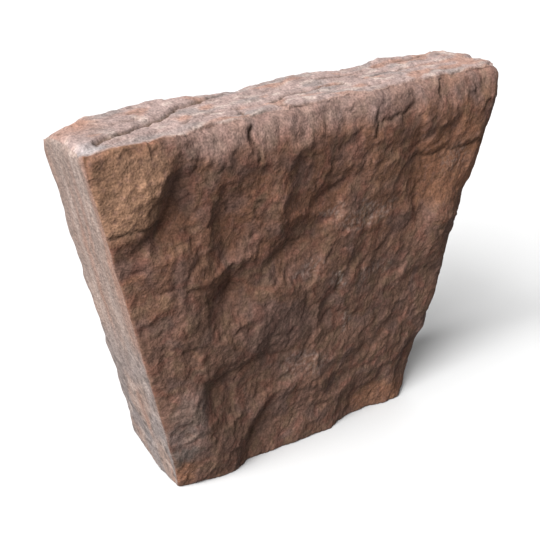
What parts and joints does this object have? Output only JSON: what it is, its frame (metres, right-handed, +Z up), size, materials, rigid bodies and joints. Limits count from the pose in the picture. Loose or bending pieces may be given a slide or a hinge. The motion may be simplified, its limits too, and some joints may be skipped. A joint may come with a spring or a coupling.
{
  "type": "keystone",
  "caption": "Rock-faced stone keystone: a tapered wedge with a chiselled face, flat sawn joints, bed and back, for the crown of an arch or a lintel.",
  "frame": {"origin": "centre of the bounding box, at the level of the bed it stands on", "axes": "+Z up from the narrow bed to the wide top, -Y out of the chiselled face, +X across the stone"},
  "size_m": [0.3046, 0.056, 0.229],
  "materials": {
    "sandstone": "rough, chiselled on the face and sawn on the sides"
  },
  "bodies": {
    "root": {"keystone": "sandstone"}
  },
  "joints": []
}
